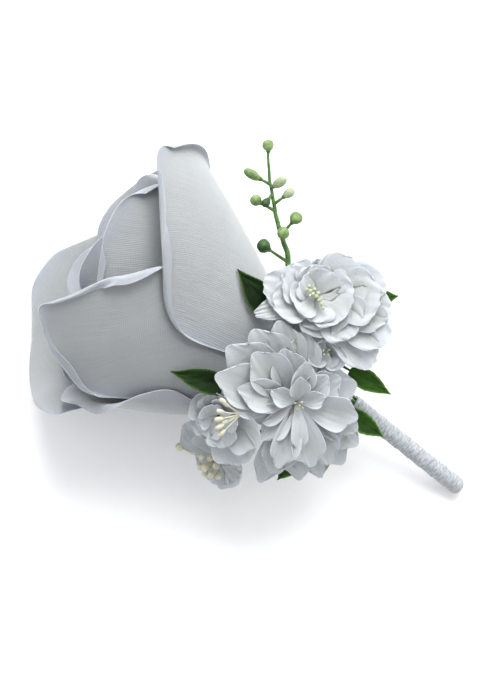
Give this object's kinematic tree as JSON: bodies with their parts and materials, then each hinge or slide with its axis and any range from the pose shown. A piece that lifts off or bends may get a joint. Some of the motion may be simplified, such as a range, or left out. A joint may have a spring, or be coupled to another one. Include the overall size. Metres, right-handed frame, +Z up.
{
  "type": "silk flower boutonniere",
  "caption": "Wired boutonniere of white silk flowers lying on its back: a large rose, small blossoms, a berry sprig and leaves on a taped stem.",
  "frame": {"origin": "on the surface it lies on, under the middle of its outline", "axes": "+X from the rose towards the cut stem end's side, +Y towards the berry sprig, +Z up, the side that shows when worn"},
  "size_m": [0.1252, 0.1004, 0.0668],
  "materials": {
    "rose_silk": "white polyester silk, plain woven, soft sheen",
    "blossom_silk": "thin white polyester silk, stamped and heat formed",
    "leaf_cloth": "green woven leaf cloth with pressed veins",
    "calyx_green": "moulded green polyethylene, matt",
    "berry_green": "green coated foam, matt",
    "berry_pale": "pale green coated foam, matt",
    "stamen_cream": "cream pearl dipped tips on cotton threads",
    "stamen_green": "yellow-green moulded stamens",
    "tape_white": "white satin tape, wound in a spiral",
    "wire_green": "green coated floral wire"
  },
  "bodies": {
    "root": {"berry_dark_bud": "berry_green", "berry_front": "berry_green", "berry_left": "berry_green", "berry_long": "berry_green", "berry_low": "berry_green", "berry_pale_1": "berry_pale", "berry_pale_2": "berry_pale", "berry_right": "berry_green", "berry_top": "berry_green", "blossom_a_calyx": "calyx_green", "blossom_a_inner_layer": "blossom_silk", "blossom_a_middle_layer": "blossom_silk", "blossom_a_outer_layer": "blossom_silk", "blossom_a_stamens": "stamen_green", "blossom_a_wire": "wire_green", "blossom_b_calyx": "calyx_green", "blossom_b_inner_layer": "blossom_silk", "blossom_b_outer_layer": "blossom_silk", "blossom_b_second_layer": "blossom_silk", "blossom_b_stamens": "stamen_green", "blossom_b_third_layer": "blossom_silk", "blossom_b_wire": "wire_green", "blossom_c_calyx": "calyx_green", "blossom_c_inner_layer": "blossom_silk", "blossom_c_outer_layer": "blossom_silk", "blossom_c_stamens": "stamen_cream", "blossom_c_wire": "wire_green", "blossom_d_calyx": "calyx_green", "blossom_d_layer": "blossom_silk", "blossom_d_stamens": "stamen_cream", "blossom_d_wire": "wire_green", "blossom_e_layer": "blossom_silk", "blossom_e_stamens": "stamen_green", "blossom_e_wire": "wire_green", "leaf_bottom": "leaf_cloth", "leaf_bottom_right": "leaf_cloth", "leaf_lower_left": "leaf_cloth", "leaf_right": "leaf_cloth", "leaf_right_tip": "leaf_cloth", "leaf_stem": "leaf_cloth", "leaf_upper_left": "leaf_cloth", "rose_bud_core": "rose_silk", "rose_calyx": "calyx_green", "rose_petal_back_left": "rose_silk", "rose_petal_back_right": "rose_silk", "rose_petal_bud_1": "rose_silk", "rose_petal_bud_2": "rose_silk", "rose_petal_front": "rose_silk", "rose_petal_heart_1": "rose_silk", "rose_petal_heart_2": "rose_silk", "rose_petal_heart_3": "rose_silk", "rose_petal_inner_1": "rose_silk", "rose_petal_inner_2": "rose_silk", "rose_petal_inner_3": "rose_silk", "rose_petal_inner_4": "rose_silk", "rose_petal_left": "rose_silk", "rose_petal_right": "rose_silk", "rose_wire": "wire_green", "sprig_stem": "calyx_green", "stem_tape": "tape_white"}
  },
  "joints": []
}
